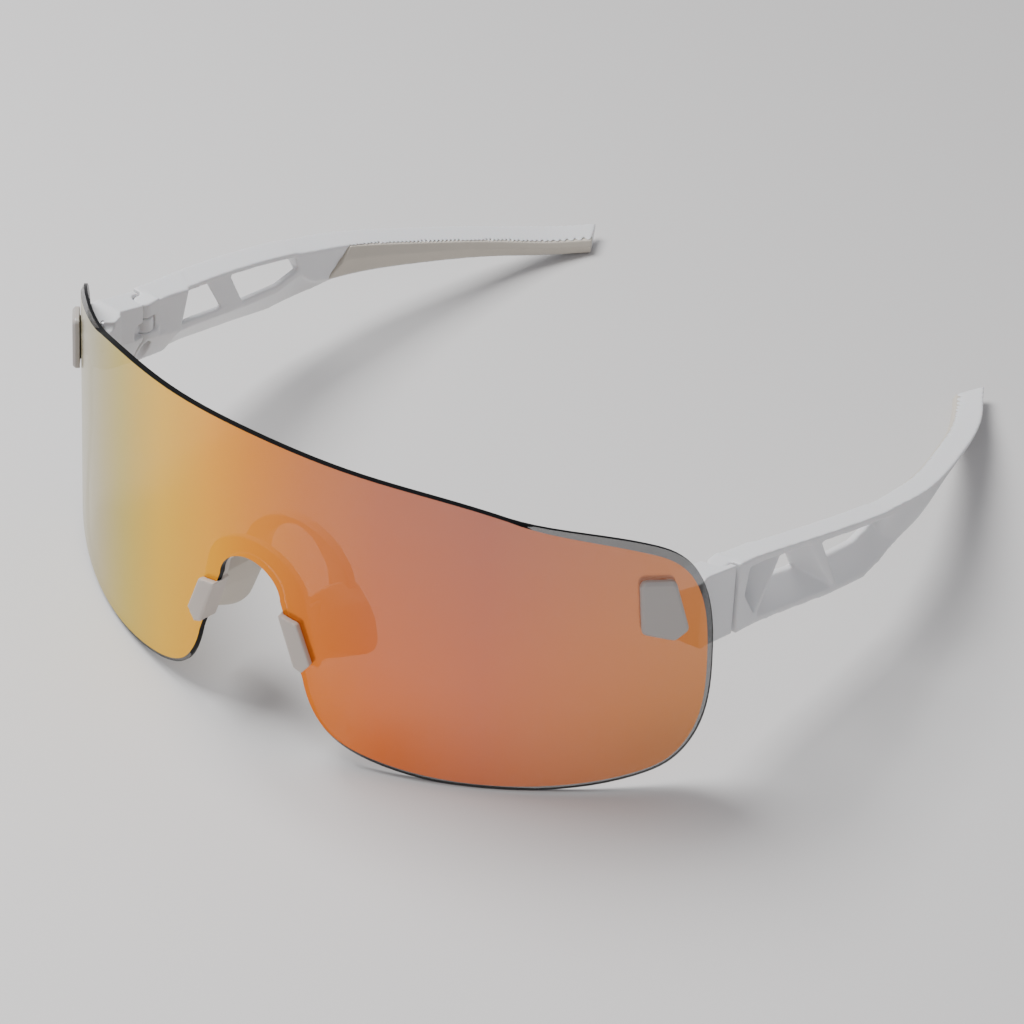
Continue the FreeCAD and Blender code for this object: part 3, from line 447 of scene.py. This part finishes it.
class GLASSES_OT_frame(bpy.types.Operator):
    """The white moulded parts: arms, end pieces, front plates and the nose carrier"""

    bl_idname = "glasses.frame"
    bl_label = "White frame parts"

    def execute(self, context):
        sizes = context.scene.glasses_sizes
        colours = context.scene.glasses_colours
        nylon = nylon_look("white nylon", colours.nylon)
        # The plates get a darker copy of the white nylon: painted shade.
        plate = nylon_look("plate nylon in painted shade", colours.plate)
        for side in SIDES:
            parts = (
                ("arm_" + side, "arm_" + side, "temple_" + side, nylon, sizes.frame_grain, sizes.easing),
                ("end_block_" + side, "front", "end_piece_" + side, nylon, sizes.small_grain, sizes.easing),
                ("plate_" + side, "front", "front_plate_" + side, plate, PLATE_FINENESS * sizes.small_grain,
                 sizes.easing),
            )
            for name, body, node, look, grain, passes in parts:
                piece = settle(name, merged(node), body, node, (look,))
                rounded(piece, grain, passes)
        # The nose carrier gets a darker copy of the white nylon: painted shade.
        band = nylon_look("nose band nylon in painted shade", colours.band)
        piece = settle("nose_band", merged("nose_carrier"), "front", "nose_carrier", (band,))
        rounded(piece, sizes.small_grain, sizes.easing)
        return {"FINISHED"}


class GLASSES_OT_rubber(bpy.types.Operator):
    """The ivory rubber: grips in the arms and the two nose pads"""

    bl_idname = "glasses.rubber"
    bl_label = "Rubber grips and pads"

    def execute(self, context):
        sizes = context.scene.glasses_sizes
        rubber = rubber_look("ivory rubber", context.scene.glasses_colours.rubber)
        for side in SIDES:
            grip = settle("grip_" + side, merged("temple_grip_" + side), "arm_" + side,
                          "temple_grip_" + side, (rubber,))
            rounded(grip, sizes.small_grain, GRIP_EASING)
            pad = settle("pad_" + side, merged("nose_pad_" + side), "front", "nose_pad_" + side,
                         (rubber,))
            rounded(pad, sizes.small_grain, PAD_EASING)
        return {"FINISHED"}


class GLASSES_OT_fixings(bpy.types.Operator):
    """Finishes on the small fixings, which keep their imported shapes"""

    bl_idname = "glasses.fixings"
    bl_label = "Screws, inserts and bushings"

    def execute(self, context):
        finishes = {
            "plate_screws_": metal_look("stainless steel", (0.55, 0.55, 0.56)),
            "hinge_insert_": metal_look("turned brass", (0.7, 0.5, 0.22)),
            "lens_bushings_": rubber_look("black bushing", (0.02, 0.02, 0.02)),
        }
        finishes["hinge_screw_"] = finishes["plate_screws_"]
        for start, look in finishes.items():
            for side in SIDES:
                mesh = frame["nodes"][start + side].data
                mesh.materials.clear()
                mesh.materials.append(look)
        return {"FINISHED"}


class GLASSES_OT_stage(bpy.types.Operator):
    """Pale floor, soft studio light and the camera"""

    bl_idname = "glasses.stage"
    bl_label = "Floor, light and camera"

    def execute(self, context):
        scene = context.scene
        ground = bmesh.new()
        bmesh.ops.create_grid(ground, x_segments=1, y_segments=1, size=FLOOR_SIZE)
        bmesh.ops.translate(ground, verts=ground.verts, vec=(0.0, 0.0, -FLOOR_DROP))
        mesh = bpy.data.meshes.new("floor")
        ground.to_mesh(mesh)
        ground.free()
        floor = bpy.data.objects.new("floor", mesh)
        mesh.materials.append(floor_look(scene.glasses_colours.floor))
        scene.collection.objects.link(floor)
        for name, place, target, size, watts in LAMPS:
            data = bpy.data.lights.new(name, "AREA")
            data.size = size
            data.energy = watts
            lamp = bpy.data.objects.new(name, data)
            lamp.location = place
            aim = Vector(target) - Vector(place)
            lamp.rotation_euler = aim.to_track_quat("-Z", "Y").to_euler()
            scene.collection.objects.link(lamp)
        world = bpy.data.worlds.new("studio")
        world.use_nodes = True
        sky = world.node_tree.nodes["Background"].inputs
        sky["Color"].default_value = SKY_COLOUR
        sky["Strength"].default_value = SKY_STRENGTH
        scene.world = world
        data = bpy.data.cameras.new("camera")
        data.lens = CAMERA_LENS
        data.sensor_width = CAMERA_SENSOR
        data.clip_end = CAMERA_REACH
        camera = bpy.data.objects.new("camera", data)
        camera.location = CAMERA_PLACE
        aim = Euler((math.radians(90 - CAMERA_PITCH), 0.0, math.radians(CAMERA_TURN))).to_matrix()
        roll = Matrix.Rotation(math.radians(CAMERA_ROLL), 3, "Z")
        camera.rotation_euler = (aim @ roll).to_euler()
        scene.collection.objects.link(camera)
        scene.camera = camera
        return {"FINISHED"}


STEPS = (GLASSES_OT_stage, GLASSES_OT_lens, GLASSES_OT_frame, GLASSES_OT_rubber, GLASSES_OT_fixings)


class GLASSES_PT_panel(bpy.types.Panel):
    """Every step of the glasses, in order"""

    bl_idname = "GLASSES_PT_panel"
    bl_label = "Sport shield glasses"
    bl_space_type = "VIEW_3D"
    bl_region_type = "UI"
    bl_category = "Glasses"

    def draw(self, context):
        for step in STEPS:
            self.layout.operator(step.bl_idname)


CLASSES = (GlassesSizes, GlassesColours, *STEPS, GLASSES_PT_panel)


def register():
    for item in CLASSES:
        bpy.utils.register_class(item)
    bpy.types.Scene.glasses_sizes = bpy.props.PointerProperty(type=GlassesSizes)
    bpy.types.Scene.glasses_colours = bpy.props.PointerProperty(type=GlassesColours)


def unregister():
    del bpy.types.Scene.glasses_colours
    del bpy.types.Scene.glasses_sizes
    for item in reversed(CLASSES):
        bpy.utils.unregister_class(item)


def main():
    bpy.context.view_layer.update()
    register()
    bpy.ops.glasses.stage()
    bpy.ops.glasses.lens()
    bpy.ops.glasses.frame()
    bpy.ops.glasses.rubber()
    bpy.ops.glasses.fixings()


if __name__ == "__main__":
    main()
